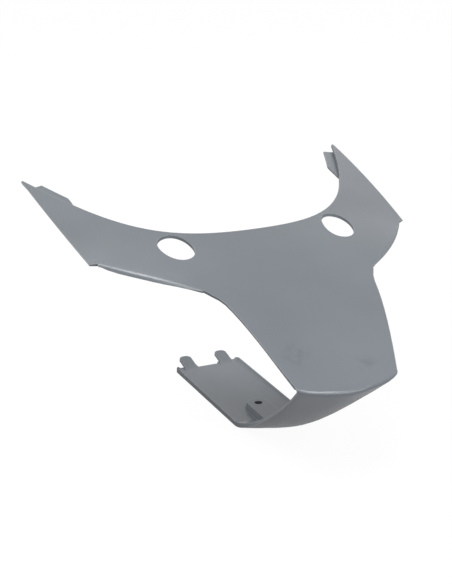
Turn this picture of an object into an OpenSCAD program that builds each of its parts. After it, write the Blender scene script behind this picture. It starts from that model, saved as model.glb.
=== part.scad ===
// Scooter rear panel: one grey plastic moulding.
// X runs to the right, Y forward, Z up. The origin is the centre of the screw
// hole, on the underside of the bottom plate.

/* [Wings] */
// Centre line to each wing tip
tip_x = 139; // [130:1:150]
// Screw hole forward to the wing tips
tip_y = 148.2; // [140:0.1:165]
// Width of the blunt end of each wing tip
tip_w = 1.5; // [1.2:0.1:3]
// Screw hole forward to the bottom of the seat recess
recess_y = 6.5; // [0:0.1:12]
// Half length of the flat part of the seat recess
recess_flat = 73.8; // [68:0.1:80]
// How far the straight run of the recess reaches back from each tip
recess_run = 107.6; // [96:0.1:112]
// Lean of that straight run away from the forward direction
recess_lean = 19.7; // [16:0.1:22]
// Centre line to the pointed spur at each wing's outer corner
spur_x = 131.9; // [128:0.1:138]
// Screw hole forward to the spur
spur_y = 13; // [8:0.5:18]
// Size of the notch beside the spur
spur_w = 5; // [3:0.5:7]
// Bow of the wing's outer end edge
end_bow = 1.3; // [0:0.1:4]
// Bow of the edge between the spur and the tongue
rear_bow = 4.4; // [2:0.1:6]

/* [Tongue] */
// Centre line to the waist where each wing meets the tongue
waist_x = 62.8; // [58:0.1:70]
// Screw hole rearward to the waist
waist_y = 61.4; // [55:0.1:70]
// Length of the rounded corner at the waist, along each edge
waist_round = 10.5; // [5:0.5:12]
// Bow of the tongue's side edges
tongue_bow = 1.2; // [0:0.2:3]
// Half width of the tongue at the chin fold
chin_x = 39.9; // [36:0.1:42]
// Screw hole rearward to the middle of the chin fold
chin_y = 150.8; // [145:0.1:158]
// How far the fold line bows rearward in the middle
chin_bow = 6.6; // [4:0.1:12]
// Roundness of the bow in its middle, 0 is a sharp point
chin_blunt = 0.4; // [0.08:0.02:0.6]
// How far the corners at the ends of the fold are cut back
corner_cut = 2; // [0:0.2:5]

/* [Skin shape] */
// Wall thickness of the moulding
wall = 2.4; // [2:0.1:3]
// How far the inner face stops short of the free edges
edge_in = 1.4; // [0.4:0.1:2]
// Height of the outer face where wings and tongue planes meet
hip_z = 121.6; // [116:0.2:128]
// Screw hole rearward to that line
hip_y = 89; // [82:1:96]
// Length over which the two planes blend
hip_round = 12; // [8:1:16]
// Slope of the tongue
tongue_slope = 35.4; // [32:0.2:39]
// Rise of the wings going forward from the hip line
wing_rise = 16.9; // [14:0.1:20]
// How far the wings level off by the time they reach the tips
wing_arch = 16.8; // [12:0.1:24]
// Radius of the sideways crown
crown_r = 534; // [450:1:700]
// Lift of the wing tips over the crown
tip_lift = 5.4; // [0:0.2:9]
// Extra height of each wing beside its rolled edge
wing_swell = 2; // [0:0.2:3]

/* [Rolled edge] */
// Outer radius of the rolled edge between spur and waist
roll_r = 3.6; // [3.1:0.1:5]
// Angle the edge turns through
roll_turn = 62; // [40:1:80]
// Depth of the straight lip after the roll
roll_lip = 0.5; // [0.4:0.1:1.4]

/* [Chin and bottom plate] */
// Outer radius of the chin fold
fold_r = 2.9; // [2.8:0.1:4]
// Slope of the chin wall
chin_slope = 38; // [34:0.5:41]
// How much the side edges tuck in round the fold
fold_tuck = 1.6; // [0.6:0.1:2.4]
// How long the chin wall keeps its slope at the fold, as a share of the wall
chin_reach = 0.68; // [0.5:0.02:0.7]
// The same at the plate
foot_reach = 0.08; // [0.04:0.02:0.3]
// How late the sides flare out to the fold, 1 is straight
flare = 3; // [1:0.2:3.4]
// Outward belly of the chin wall along its middle line
belly = 2.2; // [0:0.2:4]
// Half width of the bottom plate
plate_x = 28.3; // [26:0.1:31]
// Screw hole forward to the plate's front edge
plate_front = 100.4; // [92:0.1:106]
// Screw hole rearward to where the plate starts to curve up
plate_rear = 17.2; // [12:0.2:22]
// Cut-off corners of the plate's front edge
plate_cut = 2.2; // [1:0.2:3]
// Height of the upstand along the plate's side edges
rim_h = 1.5; // [0.6:0.1:2]

/* [Lens holes] */
// Centre line to each lens hole
hole_x = 67.4; // [64:0.2:70]
// Skin left between a lens hole and the recess edge
hole_land = 5.3; // [3.6:0.1:7]
// Length of a lens hole, measured flat
hole_l = 35.6; // [30:0.2:40]
// Width of a lens hole
hole_w = 23.2; // [18:0.2:26]
// Lean of a lens hole outward to the front
hole_turn = 10; // [4:0.5:14]
// Squareness of a lens hole, 2 is an ellipse
hole_n = 2.15; // [2:0.05:4]

/* [Fixings] */
// Diameter of the screw hole
screw_d = 6.6; // [6:0.1:8]
// Radius of the raised pad around it
pad_r = 8.6; // [8:0.2:11]
// How much wider the foot of the pad is
pad_foot = 2.4; // [0.6:0.2:2.4]
// Height of the pad above the plate
pad_h = 4.8; // [3:0.2:6]
// Centre line to each front tab
tab_x = 15.9; // [13:0.1:17]
// Width of a front tab
tab_w = 10.2; // [8:0.2:12]
// How far a front tab stands out of the plate
tab_l = 21; // [16:0.2:24]
// How far a front tab overlaps the plate
tab_root = 8; // [7:0.5:10]
// Thickness of a front tab
tab_t = 2; // [1.8:0.1:2.6]
// How steeply a front tab rises
tab_rise = 13; // [6:0.5:14]
// How much wider a front tab is at its root
tab_flare = 1.4; // [0:0.2:2.4]
// Depth of the notch between the front tabs
notch_l = 3.4; // [2:0.2:6]
// Cut-off corners of a front tab
tab_cut = 3.2; // [2:0.2:4]
// Drop of the wing tabs below the outer face
ear_drop = 3.4; // [3.2:0.1:4.4]
// Thickness of a wing tab
ear_t = 1.6; // [1.6:0.1:2.4]
// Width of a wing tab where it stands out most
ear_w = 9.4; // [8:0.1:14]
// How far a wing tab reaches under the skin
ear_under = 6; // [5:0.5:7]
// The same at its front end
ear_tip = 1.5; // [1.2:0.1:2.6]
// Tip rearward to the free end of a wing tab
ear_gap = 9.2; // [8:0.1:16]
// Length of a wing tab
ear_l = 49.6; // [44:0.1:58]

/* [Hidden] */
$fn = 48;
grey = [0.53, 0.55, 0.57];
eps = 0.01;
rows = 16;
// Places of the columns across the fold
fold_us = [0, 0.22, 0.43, 0.63, 0.8, 0.93, 1];
n_fold = len(fold_us) - 1;
n_side = 8;
n_waist = 3;
n_rear = 9;
n_end = 11;
n_half = n_fold + n_side + n_waist + n_rear + 1 + n_end;
n_all = 2 * n_half + 1;
c_waist = n_fold + n_side + n_waist;
c_notch = c_waist + n_rear;
turns = 4;
folds = 7;
chins = 13;
flats = folds + chins;
drops = flats + 3;
// Angle the rolled edge starts with at the waist
turn_start = 14;
// How much less the inner face turns in the roll
turn_inner = 0.6;
// Share of the recess curve that faces each stretch of the outer edge
t_fold = 0.11;
t_waist = 0.31;
t_notch = 0.65;
t_spur = 0.67;

// Curves and vectors
function unit(v) = v / norm(v);
function mix(a, b, t) = a + (b - a) * t;
function bez2(a, b, c, t) = (1 - t) * (1 - t) * a + 2 * t * (1 - t) * b + t * t * c;
function bez3(a, b, c, d, t) = (1 - t) * bez2(a, b, c, t) + t * bez2(b, c, d, t);
function bow(a, b, h, t) = bez2(a, (a + b) / 2 + 2 * h * unit([a[1] - b[1], b[0] - a[0]]), b, t);
function side(a) = unit([a[1], -a[0]]);

// Outer face of wings and tongue
function fore(y) = max(y + hip_y, 0) / (tip_y + hip_y);
function hip(y) = hip_round * ln(1 + exp((y + hip_y) / hip_round));
function spine(y) = hip_z + tan(tongue_slope) * (y + hip_y) - (tan(tongue_slope) - tan(wing_rise)) * hip(y);
function crown(x, y) = x * x / (2 * crown_r) - tip_lift * pow(x / tip_x, 2) * fore(y);
function swell(x, y) = wing_swell * pow(max(0, 1 - pow(norm([abs(x), y] - edge_mid) / edge_half, 2)), 2);
function top_z(x, y) = spine(y) - crown(x, y) - wing_arch * pow(fore(y), 2) + swell(x, y);
function slope_x(x, y) = (top_z(x + eps, y) - top_z(x - eps, y)) / (2 * eps);
function slope_y(x, y) = (top_z(x, y + eps) - top_z(x, y - eps)) / (2 * eps);
function top_n(x, y) = unit([-slope_x(x, y), -slope_y(x, y), 1]);
function on_top(p) = [p[0], p[1], top_z(p[0], p[1])];

// Right half of the outline, seen from above
recess_dir = [sin(recess_lean), cos(recess_lean)];
tip_in = [tip_x - tip_w / 2, tip_y];
tip_out = [tip_x + tip_w / 2, tip_y - tip_w / 2];
spur = [spur_x, spur_y];
notch = [spur_x - spur_w, spur_y - spur_w * 0.75];
waist = [waist_x, -waist_y];
corner = [chin_x, chin_bow + corner_cut - chin_y];
// Middle of the rolled edge and half its length, where the wing swells
edge_mid = (waist + spur) / 2;
edge_half = norm(spur - waist) / 2;
rear_dir = unit(notch - waist);
side_dir = unit(waist - corner);
waist_a = waist - side_dir * waist_round;
waist_b = waist + rear_dir * waist_round;
tip_back = tip_in - recess_dir * recess_run;
function recess(t) = bez3([0, recess_y], [recess_flat, recess_y], tip_back, tip_in, t);
function recess_at(x) = lookup(x, [for (t = [0 : 0.02 : 1.001]) recess(t)]);
function vee(u) = (norm([u, chin_blunt]) - chin_blunt) / (norm([1, chin_blunt]) - chin_blunt);
function cut_back(u) = corner_cut * pow(max(0, abs(u) - 0.75) / 0.25, 2);
function fold_at(u) = [chin_x * u, chin_bow * vee(u) + cut_back(u) - chin_y];
// Columns of the skin: a pair of points, on the recess and on the outer edge
function side_t(k) = mix(t_fold, t_waist, k / (n_side + 1));
function round_at(t) = bez2(waist_a, waist, waist_b, t);
function rear_t(k) = mix(t_waist, t_notch, k / n_rear);
function end_t(k) = mix(t_spur, 1, k / n_end);
half = [
    for (u = fold_us) [recess(t_fold * u), fold_at(u)],
    for (k = [1 : n_side]) [recess(side_t(k)), bow(corner, waist_a, -tongue_bow, k / n_side)],
    for (k = [1 : n_waist]) [recess(side_t(n_side + k / n_waist)), round_at(k / n_waist)],
    for (k = [1 : n_rear]) [recess(rear_t(k)), bow(waist_b, notch, -rear_bow, k / n_rear)],
    [recess(t_spur), spur],
    for (k = [1 : n_end]) [recess(end_t(k)), bow(spur, tip_out, -end_bow, k / n_end)]
];
function flip(p, s) = [p[0] * s, p[1]];
function sgn(i) = i < 0 ? -1 : 1;

// Rolled edge
function share(k) = (k - c_waist) / n_rear;
function ramp(k) = min(1, share(k) * 2.2, (1 - share(k)) * 4 + 0.2);
function turn(k) = mix(turn_start, roll_turn, sin(90 * ramp(k)));
function lip(k) = mix(0.4, roll_lip, min(1, share(k) * 2));
function inset(k) = roll_r * sin(turn(k)) + lip(k) * cos(turn(k));
function rolls(k) = k >= c_waist && k <= c_notch;
function edge_dir(k) = half[k >= c_notch ? k : k + 1][1] - half[k <= c_waist ? k : k - 1][1];
function rim_of(k) = rolls(k) ? half[k][1] - side(edge_dir(k)) * inset(k) : half[k][1];
function edge_run(k) =
    let (d = unit(edge_dir(k)), p = rim_of(k))
    unit(on_top(p + d * eps) - on_top(p - d * eps));
function up_of(k) = top_n(rim_of(k)[0], rim_of(k)[1]);
function out_of(k) = cross(edge_run(k), up_of(k));
function roll_out(k, a) = cos(a) * up_of(k) + sin(a) * out_of(k);
function roll_ahead(k, a) = cos(a) * out_of(k) - sin(a) * up_of(k);
function roll_at(k, a) = on_top(rim_of(k)) + roll_r * (sin(a) * out_of(k) - (1 - cos(a)) * up_of(k));
function roll_end(k, a) = roll_at(k, a) + lip(k) * roll_ahead(k, a);
function roll_p(k, r) = r <= turns ? roll_at(k, turn(k) * r / turns) : roll_end(k, turn(k));
function roll_q(k, r) =
    let (a = turn_inner * turn(k) * min(r, turns) / turns)
    (r > turns ? roll_end(k, a) : roll_at(k, a)) - wall * roll_out(k, a);
function flip3(p, s) = [p[0] * s, p[1], p[2]];

// Chin fold, chin wall and bottom plate, one column at u
function fold_lean(u) = atan(slope_y(fold_at(u)[0], fold_at(u)[1]));
function fold_turn(u) = 180 - fold_lean(u) - chin_slope;
function fold_p(u, a) = let (e = fold_lean(u))
    on_top(fold_at(u)) - [u * fold_tuck * pow(a / fold_turn(u), 2), 0, 0]
        + fold_r * (sin(a) * [0, -cos(e), -sin(e)] - (1 - cos(a)) * [0, -sin(e), cos(e)]);
function chin_end(u) = let (e = fold_p(u, fold_turn(u))) [e[1], e[2]];
chin_dir = [cos(chin_slope), -sin(chin_slope)];
function chin_line(u, t) =
    let (a = chin_end(u), l = norm([a[0] + plate_rear, a[1]]))
    bez3(a, a + chin_reach * l * chin_dir, [-plate_rear - foot_reach * l, 0], [-plate_rear, 0], t);
function chin_share(y) = min(1, (-plate_rear - y) / (-plate_rear - corner[1]));
function chin_half(y) = mix(plate_x, chin_x - fold_tuck, pow(chin_share(y), flare));
function hump(t) = 27 / 4 * t * pow(1 - t, 2);
function chin_p(u, t) =
    let (c = chin_line(u, t) - belly * (1 - u * u) * hump(t) * [sin(chin_slope), cos(chin_slope)])
    [u * chin_half(c[0]), c[0], c[1]];
function drop_p(u, r) =
    r == 0 ? on_top(fold_at(u)) :
    r <= folds ? fold_p(u, fold_turn(u) * r / folds) :
    r <= flats ? chin_p(u, (r - folds) / chins) :
    r == drops ? [(plate_x - plate_cut) * u, plate_front, 0] :
    [plate_x * u, mix(-plate_rear, plate_front - plate_cut, (r - flats) / (drops - 1 - flats)), 0];
function u_of(i) = sgn(i) * fold_us[abs(i)];
function drop_n(i, r) = r >= flats ? [0, 0, -1] :
    unit(cross(drop_p(u_of(i), r + 1) - drop_p(u_of(i), r - 1),
        drop_p(u_of(min(i + 1, n_fold)), r) - drop_p(u_of(max(i - 1, -n_fold)), r)));
// Thicker rim along the side edges of chin wall and plate
function thick(i, r) = wall + (abs(i) == n_fold ? rim_h * max(0, min(1, (r - folds) / chins)) : 0);

// Points of the skin: outer face, then inner face
function main_p(i, j) = let (k = abs(i), p = mix(half[k][0], rim_of(k), j / rows)) on_top(flip(p, sgn(i)));
skin_out = [for (i = [-n_half : n_half]) for (j = [0 : rows]) main_p(i, j)];
function ease(k) = k > c_notch ? 1 : max(0, min(1, (k - n_fold) / 3, (c_waist - k) / 4));
function set_in(k) = 1 - min(0.3, ease(k) * edge_in / norm(half[k][1] - half[k][0]));
function inner_p(i, j) =
    let (k = abs(i), q = flip(mix(half[k][0], rim_of(k), set_in(k) * j / rows), sgn(i)))
    on_top(q) - wall * top_n(q[0], q[1]);
skin_in = [for (i = [-n_half : n_half]) for (j = [0 : rows]) inner_p(i, j)];
roll_ks = [c_waist : c_notch];
roll_out_pts = [for (s = [1, -1]) for (k = roll_ks) for (r = [1 : turns + 1]) flip3(roll_p(k, r), s)];
roll_in_pts = [for (s = [1, -1]) for (k = roll_ks) for (r = [1 : turns + 1]) flip3(roll_q(k, r), s)];
function under_p(i, r) = drop_p(u_of(i), r) - thick(i, r) * drop_n(i, r);
drop_out = [for (i = [-n_fold : n_fold]) for (r = [1 : drops]) drop_p(u_of(i), r)];
drop_in = [for (i = [-n_fold : n_fold]) for (r = [1 : drops]) under_p(i, r)];
outer = concat(skin_out, roll_out_pts, drop_out);
shift = len(outer);

// Numbers of those points
function at_main(i, j) = (i + n_half) * (rows + 1) + j;
function at_roll(i, r) = r == 0 ? at_main(i, rows) :
    len(skin_out) + ((i < 0 ? n_rear + 1 : 0) + abs(i) - c_waist) * (turns + 1) + r - 1;
function at_drop(i, r) = r == 0 ? at_main(i, rows) :
    len(skin_out) + len(roll_out_pts) + (i + n_fold) * drops + r - 1;
function two(a, b, c, d) = [[a, b, c], [a, c, d]];
function both(a, b, c, d) = concat(two(a, b, c, d), two(a + shift, d + shift, c + shift, b + shift));
function wall_of(a, b) = two(a, b, b + shift, a + shift);
function rolled(i) = min(abs(i), abs(i + 1)) >= c_waist && max(abs(i), abs(i + 1)) <= c_notch;
function folded(i) = i >= -n_fold && i < n_fold;
function first_roll(i) = i < 0 ? -c_notch : c_waist;
function last_roll(i) = i < 0 ? -c_waist : c_notch;
function join(l) = [for (a = l) for (b = a) b];
skin_cells = [-n_half : n_half - 1];
skin_faces = join(concat(
    [for (i = skin_cells) for (j = [0 : rows - 1])
        both(at_main(i, j), at_main(i + 1, j), at_main(i + 1, j + 1), at_main(i, j + 1))],
    [for (i = skin_cells) wall_of(at_main(i + 1, 0), at_main(i, 0))],
    [for (i = skin_cells) if (!rolled(i) && !folded(i)) wall_of(at_main(i, rows), at_main(i + 1, rows))],
    [for (j = [0 : rows - 1]) wall_of(at_main(-n_half, j), at_main(-n_half, j + 1))],
    [for (j = [0 : rows - 1]) wall_of(at_main(n_half, j + 1), at_main(n_half, j))]));
roll_faces = join(concat(
    [for (s = [-1, 1]) for (i = [first_roll(s) : last_roll(s) - 1]) for (r = [0 : turns])
        both(at_roll(i, r), at_roll(i + 1, r), at_roll(i + 1, r + 1), at_roll(i, r + 1))],
    [for (s = [-1, 1]) for (i = [first_roll(s) : last_roll(s) - 1])
        wall_of(at_roll(i, turns + 1), at_roll(i + 1, turns + 1))],
    [for (s = [-1, 1]) for (r = [0 : turns])
        wall_of(at_roll(first_roll(s), r), at_roll(first_roll(s), r + 1))],
    [for (s = [-1, 1]) for (r = [0 : turns])
        wall_of(at_roll(last_roll(s), r + 1), at_roll(last_roll(s), r))]));
drop_faces = join(concat(
    [for (i = [-n_fold : n_fold - 1]) for (r = [0 : drops - 1])
        both(at_drop(i, r), at_drop(i + 1, r), at_drop(i + 1, r + 1), at_drop(i, r + 1))],
    [for (i = [-n_fold : n_fold - 1]) wall_of(at_drop(i, drops), at_drop(i + 1, drops))],
    [for (r = [0 : drops - 1]) wall_of(at_drop(-n_fold, r), at_drop(-n_fold, r + 1))],
    [for (r = [0 : drops - 1]) wall_of(at_drop(n_fold, r + 1), at_drop(n_fold, r))]));

module skin() {
    color(grey) polyhedron(
        points = concat(outer, skin_in, roll_in_pts, drop_in),
        faces = concat(skin_faces, roll_faces, drop_faces),
        convexity = 8
    );
}

// Raised pad round the screw hole, with sloping sides, running back into the chin wall
pad_top = wall + pad_h;
pad_low = 0.4 * wall;
pad_sink = [wall * 0.35, wall * 0.45];
function low_p(r) = let (p = drop_p(0, r)) [p[1], p[2]];
pad_back = [for (r = [flats : -1 : folds + 1]) if (low_p(r)[1] < pad_h) low_p(r) + pad_sink];
pad_end = pad_back[len(pad_back) - 1][0] - 1.5;
module pad() {
    color(grey) intersection() {
        hull() {
            for (y = [0, pad_end - pad_r]) {
                translate([0, y, wall / 2]) {
                    cylinder(r1 = pad_r + pad_foot, r2 = pad_r, h = pad_top - wall / 2);
                }
            }
        }
        rotate([90, 0, 90]) linear_extrude(height = 4 * pad_r, center = true) {
            polygon(concat(
                [[2 * pad_r, pad_top + 1], [2 * pad_r, pad_low], [0, pad_low]],
                pad_back,
                [[pad_end, pad_top + 1]]
            ));
        }
    }
}

// Front tab, rising out of the plate and reaching past its edge
module front_tab() {
    w = tab_w / 2;
    c = tab_cut;
    right = [
        [w + tab_flare / 2, 0],
        [w, tab_root + 1],
        [w, tab_l - c],
        [w - 0.3 * c, tab_l - 0.4 * c],
        [w - c, tab_l]
    ];
    left = [
        [c - w, tab_l],
        [0.3 * c - w, tab_l - 0.4 * c],
        [-w, tab_l - c],
        [-w, tab_root],
        [-w - tab_flare, 0]
    ];
    color(grey) translate([tab_x, plate_front - tab_root, wall - tab_t]) rotate([tab_rise, 0, 0]) {
        linear_extrude(height = tab_t) polygon(concat(right, left));
    }
}

// Notch in the plate's front edge between the tabs
module notch_cut() {
    w = tab_x - tab_w / 2 - tab_flare;
    translate([-w, plate_front - notch_l, -1]) cube([2 * w, notch_l + 1, wall + 2]);
}

// Wing tab under the recess edge, joined to the skin by a neck a little inside its edge
ear_inset = 0.6;
ear_full = 0.42;
function ear_y(t) = mix(tip_y - ear_gap - ear_l, tip_y - ear_gap, t);
recess_line = [for (t = [0.3 : 0.02 : 1.001]) [recess(t)[1], recess(t)[0]]];
function ear_edge(t) = lookup(ear_y(t), recess_line);
function ear_in(t) = mix(ear_under, ear_tip, t);
function ear_out(t) = ear_w * min(1, 0.1 + t / ear_full);
module sheet(grid_top, grid_low, m, n) {
    q = (m + 1) * (n + 1);
    w = n + 1;
    cells = [for (a = [0 : m - 1]) for (b = [0 : n - 1]) let (i = a * w + b) [i, i + w, i + w + 1, i + 1]];
    tops = [for (c = cells) for (f = two(c[0], c[1], c[2], c[3])) f];
    lows = [for (c = cells) for (f = two(c[0] + q, c[3] + q, c[2] + q, c[1] + q)) f];
    ends = [for (b = [0 : n - 1]) for (e = [[b + 1, b], [m * w + b, m * w + b + 1]]) e];
    sides = [for (a = [0 : m - 1]) for (e = [[a * w, (a + 1) * w], [(a + 1) * w + n, a * w + n]]) e];
    walls = [for (e = concat(ends, sides)) for (f = two(e[1], e[0], e[0] + q, e[1] + q)) f];
    polyhedron(points = concat(grid_top, grid_low), faces = concat(tops, lows, walls), convexity = 4);
}
function ear_p(t, b) = [mix(ear_edge(t) - ear_out(t), ear_edge(t) + ear_in(t), b), ear_y(t)];
function join_p(t, b) = [ear_edge(t) + mix(ear_inset, ear_in(t) - ear_inset / 3, b), ear_y(t)];
function lowered(points, h) = [for (p = points) on_top(p) - [0, 0, h]];
module ear() {
    flap = [for (a = [0 : 10]) for (b = [0 : 3]) ear_p(a / 10, b / 3)];
    neck = [for (a = [0 : 10]) for (b = [0 : 1]) join_p(0.01 + 0.98 * a / 10, b)];
    color(grey) {
        sheet(lowered(flap, ear_drop), lowered(flap, ear_drop + ear_t), 10, 3);
        sheet(lowered(neck, wall / 2), lowered(neck, ear_drop + 0.5), 10, 1);
    }
}

// Cutter for a lens hole
function squash(v) = (v < 0 ? -1 : 1) * pow(abs(v), 2 / hole_n);
hole_y = recess_at(hole_x) - hole_land - hole_l / 2;
lens_h = top_z(hole_x, hole_y) - hip_z + hole_l;
module lens_cut() {
    rim = [for (a = [3.75 : 7.5 : 356.25]) [squash(cos(a)) * hole_w / 2, squash(sin(a)) * hole_l / 2]];
    translate([hole_x, hole_y, hip_z - hole_l / 2]) rotate([0, 0, -hole_turn]) {
        linear_extrude(height = lens_h) polygon(rim);
    }
}

module rear_panel() {
    color(grey) difference() {
        union() {
            skin();
            pad();
            for (s = [0, 1]) {
                mirror([s, 0, 0]) {
                    front_tab();
                    ear();
                }
            }
        }
        for (s = [0, 1]) {
            mirror([s, 0, 0]) lens_cut();
        }
        notch_cut();
        translate([0, 0, -1]) cylinder(d = screw_d, h = pad_top + 2);
    }
}

rear_panel();
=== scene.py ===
"""Looks of the scooter rear panel: grey moulded plastic on a plain pale floor, seen as in the photograph."""

import math

import bpy
from mathutils import Matrix, Vector


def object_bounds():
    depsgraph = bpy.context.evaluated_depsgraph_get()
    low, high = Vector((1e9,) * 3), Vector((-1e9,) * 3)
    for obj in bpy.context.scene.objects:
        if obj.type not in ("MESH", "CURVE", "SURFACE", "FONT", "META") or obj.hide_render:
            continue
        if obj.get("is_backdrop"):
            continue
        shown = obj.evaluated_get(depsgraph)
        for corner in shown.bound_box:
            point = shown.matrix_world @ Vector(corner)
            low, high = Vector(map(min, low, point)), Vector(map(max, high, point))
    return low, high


PANEL = "rear_panel"

# Photograph: its size and focal length in pixels, the camera's place in metres, its turn and tilt in degrees
PHOTO_SIZE = (452, 584)
FOCAL_PX = 1650
SENSOR_MM = 36
CAMERA_AT = (-0.5080, -1.0685, 0.5276)
CAMERA_TURN = 24.20
CAMERA_DOWN = 19.92
CAMERA_CLIP = (0.05, 50)

# Skin: facets joined over the gap, shaded smooth below the crease angle, edges rounded
WELD_GAP = 0.00002
CREASE_ANGLE = math.radians(38)
EDGE_ROUND = 0.0005
EDGE_SEGMENTS = 2
LARGE_FACE_WEIGHT = 60

# Plastic: tints are linear, noises are (scale, detail), ranges are (from, to)
IOR = 1.42
GREY = (0.217, 0.24, 0.267, 1)
GREY_DARK = (0.196, 0.217, 0.243, 1)
DRIFT = (9, 3)
DRIFT_RANGE = (0.35, 0.62)
GRAIN = (900, 4)
GRAIN_STRENGTH = 0.08
GRAIN_DEPTH = 0.0004
SHEEN = (26, 5)
SHEEN_RANGE = (0.3, 0.7)
ROUGHNESS = (0.19, 0.27)

# Painted highlight on rounded edges and crests: a lighter colour where the normal leaves its neighbours' mean by
# the cosines of the range
GREY_EDGE_HIGHLIGHT = (0.33, 0.35, 0.375, 1)
EDGE_HIGHLIGHT_RADIUS = 0.0012
EDGE_HIGHLIGHT_SAMPLES = 6
EDGE_HIGHLIGHT_RANGE = (0.998, 0.93)
EDGE_HIGHLIGHT_SHARE = 0.8

# Smudges: place on the tongue and reach of each
GREY_SMUDGE = (0.13, 0.14, 0.16, 1)
SMUDGES = [((-0.030, -0.121, 0.097), 0.016), ((0.0186, -0.1354, 0.0882), 0.012)]
SMUDGE_PATCHES = (160, 3)
SMUDGE_RANGE = (0.4, 0.65)
SMUDGE_SHARE = 0.42

# Floor and sky: MIRRORED is the share of the white that mirrored and transmitted rays see
WHITE = (1, 1, 1, 1)
FLOOR_TINT = (0.36, 0.36, 0.36, 1)
FLOOR_SIZE = 12
FLOOR_GLOW = 0.74
FLOOR_GLOW_LEVEL = 1.28
FLOOR_MIRRORED = 0.36
SKY_LEVEL = 0.42
SKY_MIRRORED = 1

# Lamps: places they face, and the way the long side of the strip runs
PANEL_MIDDLE = (0, 0, 0.1)
FOLD_MIDDLE = (0, -0.15, 0.08)
UPRIGHT = (0, 0, 1)
FORWARD = (0, 1, 0)
DOWN_THE_ROLL = (-0.73, -0.62, -0.45)


def add_node(tree, kind, feeds=None, **settings):
    """New node with its settings, and a value or a socket for inputs by name or number."""
    node = tree.nodes.new(kind)
    for name, value in settings.items():
        setattr(node, name, value)
    for name, feed in (feeds or {}).items():
        if isinstance(feed, bpy.types.NodeSocket):
            tree.links.new(feed, node.inputs[name])
        else:
            node.inputs[name].default_value = feed
    return node


def empty_tree(owner):
    """Node tree of a material or world, without its first nodes."""
    owner.use_nodes = True
    owner.node_tree.nodes.clear()
    return owner.node_tree


def noise(tree, place, scale, detail):
    return add_node(tree, "ShaderNodeTexNoise", {"Vector": place, "Scale": scale, "Detail": detail}).outputs["Fac"]


def remap(tree, value, old, new=(0, 1), kind="LINEAR"):
    """Value carried from one range to another and held at its ends."""
    feeds = {"Value": value, "From Min": old[0], "From Max": old[1], "To Min": new[0], "To Max": new[1]}
    return add_node(tree, "ShaderNodeMapRange", feeds, interpolation_type=kind).outputs["Result"]


def maths(tree, operation, *terms):
    return add_node(tree, "ShaderNodeMath", dict(enumerate(terms)), operation=operation).outputs["Value"]


def tinted(tree, share, colour, tint):
    """Colour with a share of a tint laid over it."""
    feeds = {"Factor": share, "A": colour, "B": tint}
    return add_node(tree, "ShaderNodeMix", feeds, data_type="RGBA").outputs["Result"]


def painted_edge_highlight_share(tree):
    """Share of the painted edge highlight, which rises where an edge turns the surface within the highlight
    radius.
    """
    shape = add_node(tree, "ShaderNodeNewGeometry").outputs["Normal"]
    rounded = add_node(tree, "ShaderNodeBevel", {"Radius": EDGE_HIGHLIGHT_RADIUS}, samples=EDGE_HIGHLIGHT_SAMPLES).outputs["Normal"]
    likeness = add_node(tree, "ShaderNodeVectorMath", {0: shape, 1: rounded}, operation="DOT_PRODUCT")
    return remap(tree, likeness.outputs["Value"], EDGE_HIGHLIGHT_RANGE, (0, EDGE_HIGHLIGHT_SHARE))


def smudge_share(tree, place, spot, reach):
    """Share of a dull patchy mark, which fades out at its reach from a spot of the panel."""
    away = add_node(tree, "ShaderNodeVectorMath", {0: place, 1: spot}, operation="DISTANCE").outputs["Value"]
    fade = remap(tree, away, (reach, 0), kind="SMOOTHSTEP")
    patches = remap(tree, noise(tree, place, *SMUDGE_PATCHES), SMUDGE_RANGE)
    return maths(tree, "MULTIPLY", maths(tree, "MULTIPLY", fade, patches), SMUDGE_SHARE)


def plastic():
    """Satin moulded plastic: fine grain, slow colour drift, uneven gloss, a painted highlight on edges and crests,
    and dull smudges.
    """
    material = bpy.data.materials.new("moulded_plastic")
    tree = empty_tree(material)
    place = add_node(tree, "ShaderNodeTexCoord").outputs["Object"]

    drift = remap(tree, noise(tree, place, *DRIFT), DRIFT_RANGE)
    colour = tinted(tree, drift, GREY_DARK, GREY)
    # Painted highlight: a lighter colour laid on rounded edges and crests
    colour = tinted(tree, painted_edge_highlight_share(tree), colour, GREY_EDGE_HIGHLIGHT)
    for spot, reach in SMUDGES:
        colour = tinted(tree, smudge_share(tree, place, spot, reach), colour, GREY_SMUDGE)

    roughness = remap(tree, noise(tree, place, *SHEEN), SHEEN_RANGE, ROUGHNESS)
    grain = {"Height": noise(tree, place, *GRAIN), "Strength": GRAIN_STRENGTH, "Distance": GRAIN_DEPTH}
    bump = add_node(tree, "ShaderNodeBump", grain).outputs["Normal"]
    feeds = {"Base Color": colour, "Roughness": roughness, "IOR": IOR, "Normal": bump}
    shader = add_node(tree, "ShaderNodeBsdfPrincipled", feeds).outputs["BSDF"]
    add_node(tree, "ShaderNodeOutputMaterial", {"Surface": shader})
    return material


def smooth_skin():
    """Geometry nodes that join the facets of the CAD mesh and shade it smooth, apart from its creases."""
    group = bpy.data.node_groups.new("smooth_skin", "GeometryNodeTree")
    for way in ("INPUT", "OUTPUT"):
        group.interface.new_socket("Geometry", in_out=way, socket_type="NodeSocketGeometry")
    angle = add_node(group, "GeometryNodeInputMeshEdgeAngle").outputs["Unsigned Angle"]
    soft = {"A": angle, "B": CREASE_ANGLE}
    flat = add_node(group, "FunctionNodeCompare", soft, data_type="FLOAT", operation="LESS_THAN").outputs["Result"]
    chain = [
        add_node(group, "NodeGroupInput"),
        add_node(group, "GeometryNodeMergeByDistance", {"Distance": WELD_GAP}),
        add_node(group, "GeometryNodeRemoveAttribute", {"Name": "custom_normal"}),
        add_node(group, "GeometryNodeSetShadeSmooth", domain="FACE"),
        add_node(group, "GeometryNodeSetShadeSmooth", {"Shade Smooth": flat}, domain="EDGE"),
        add_node(group, "NodeGroupOutput"),
    ]
    for before, after in zip(chain, chain[1:]):
        group.links.new(before.outputs["Geometry"], after.inputs["Geometry"])
    return group


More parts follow.
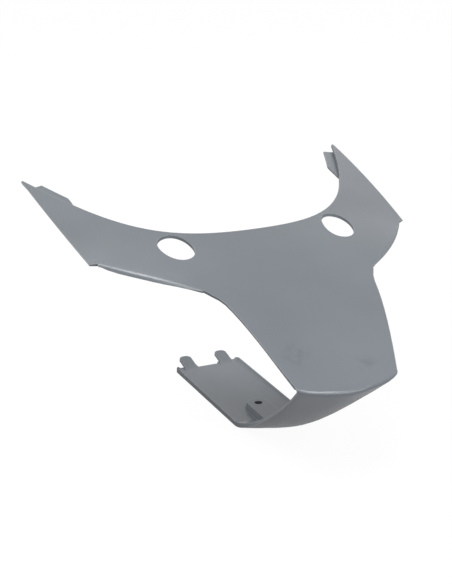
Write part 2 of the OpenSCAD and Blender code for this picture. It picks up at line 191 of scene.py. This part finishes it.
def dress_panel(panel):
    """Finish, smooth shading and rounded edges of the CAD panel."""
    panel.data.materials.clear()
    panel.data.materials.append(plastic())
    skin = panel.modifiers.new("smooth_skin", "NODES")
    skin.node_group = smooth_skin()
    rounding = panel.modifiers.new("round_edges", "BEVEL")
    rounding.width = EDGE_ROUND
    rounding.segments = EDGE_SEGMENTS
    rounding.limit_method = "ANGLE"
    rounding.angle_limit = CREASE_ANGLE
    normals = panel.modifiers.new("even_normals", "WEIGHTED_NORMAL")
    normals.weight = LARGE_FACE_WEIGHT


def photo_camera():
    turn, down = math.radians(CAMERA_TURN), math.radians(CAMERA_DOWN)
    right = Vector((math.cos(turn), -math.sin(turn), 0))
    ahead = Vector((math.sin(turn) * math.cos(down), math.cos(turn) * math.cos(down), -math.sin(down)))
    up = right.cross(ahead)
    data = bpy.data.cameras.new("photo_camera")
    data.sensor_width = SENSOR_MM
    data.lens = FOCAL_PX * SENSOR_MM / max(PHOTO_SIZE)
    data.clip_start, data.clip_end = CAMERA_CLIP
    camera = bpy.data.objects.new("photo_camera", data)
    camera.matrix_world = Matrix.Translation(CAMERA_AT) @ Matrix((right, up, -ahead)).transposed().to_4x4()
    bpy.context.scene.collection.objects.link(camera)
    bpy.context.scene.camera = camera


def whiteness(tree, mirrored):
    """1 for camera rays and a share for mirrored and transmitted ones, which see the white studio too."""
    path = add_node(tree, "ShaderNodeLightPath").outputs
    bent = maths(tree, "MAXIMUM", path["Is Glossy Ray"], path["Is Transmission Ray"])
    return maths(tree, "MULTIPLY_ADD", bent, mirrored, path["Is Camera Ray"])


def whitened(tree, share, plain, white):
    """Surface that goes from a plain shader to a white one with the share."""
    feeds = {"Fac": share, 1: plain.outputs[0], 2: white.outputs[0]}
    return {"Surface": add_node(tree, "ShaderNodeMixShader", feeds).outputs["Shader"]}


def floor():
    """Pale floor that looks white and keeps the panel's shadow."""
    bpy.ops.mesh.primitive_plane_add(size=FLOOR_SIZE, location=(0, 0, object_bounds()[0].z))
    plane = bpy.context.object
    plane.name = "floor"
    material = bpy.data.materials.new("floor")
    tree = empty_tree(material)
    matte = add_node(tree, "ShaderNodeBsdfDiffuse", {"Color": FLOOR_TINT})
    glow = add_node(tree, "ShaderNodeEmission", {"Color": WHITE, "Strength": FLOOR_GLOW_LEVEL})
    share = maths(tree, "MULTIPLY", whiteness(tree, FLOOR_MIRRORED), FLOOR_GLOW)
    add_node(tree, "ShaderNodeOutputMaterial", whitened(tree, share, matte, glow))
    plane.data.materials.append(material)
    plane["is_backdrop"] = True


def sky():
    """Soft even light all round, behind a white background."""
    world = bpy.data.worlds.new("studio")
    bpy.context.scene.world = world
    tree = empty_tree(world)
    soft = add_node(tree, "ShaderNodeBackground", {"Color": WHITE, "Strength": SKY_LEVEL})
    white = add_node(tree, "ShaderNodeBackground", {"Color": WHITE})
    add_node(tree, "ShaderNodeOutputWorld", whitened(tree, whiteness(tree, SKY_MIRRORED), soft, white))


def lamp(name, at, look_at, size, watts, along, gloss_only=False):
    """Area lamp at a place, facing another, with its second side laid along a direction."""
    data = bpy.data.lights.new(name, "AREA")
    data.shape = "RECTANGLE"
    data.size, data.size_y = size
    data.energy = watts
    light = bpy.data.objects.new(name, data)
    back = (Vector(at) - Vector(look_at)).normalized()
    side = Vector(along).cross(back).normalized()
    light.matrix_world = Matrix.Translation(at) @ Matrix((side, back.cross(side), back)).transposed().to_4x4()
    light.visible_diffuse = not gloss_only
    bpy.context.scene.collection.objects.link(light)


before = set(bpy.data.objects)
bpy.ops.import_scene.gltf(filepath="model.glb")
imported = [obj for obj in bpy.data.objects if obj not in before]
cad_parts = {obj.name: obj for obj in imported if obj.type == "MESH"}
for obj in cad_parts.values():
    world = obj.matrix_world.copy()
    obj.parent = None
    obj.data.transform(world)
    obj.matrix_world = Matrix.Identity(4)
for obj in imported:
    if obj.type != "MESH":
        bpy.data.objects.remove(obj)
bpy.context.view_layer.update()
bpy.context.scene.view_settings.view_transform = "Standard"

dress_panel(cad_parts[PANEL])
photo_camera()
floor()
sky()
lamp("overhead", (-0.5, -0.3, 1.6), PANEL_MIDDLE, (1.2, 1.2), 14, FORWARD)
lamp("rear_box", (0.45, -1.6, 0.22), PANEL_MIDDLE, (1.2, 0.4), 10, UPRIGHT)
lamp("roll_strip", (-0.37, 0.38, 1.37), PANEL_MIDDLE, (0.45, 0.95), 12, DOWN_THE_ROLL, gloss_only=True)
lamp("fold_box", (0.21, -1.16, 1.03), FOLD_MIDDLE, (0.5, 0.7), 14, UPRIGHT, gloss_only=True)

bpy.context.view_layer.update()
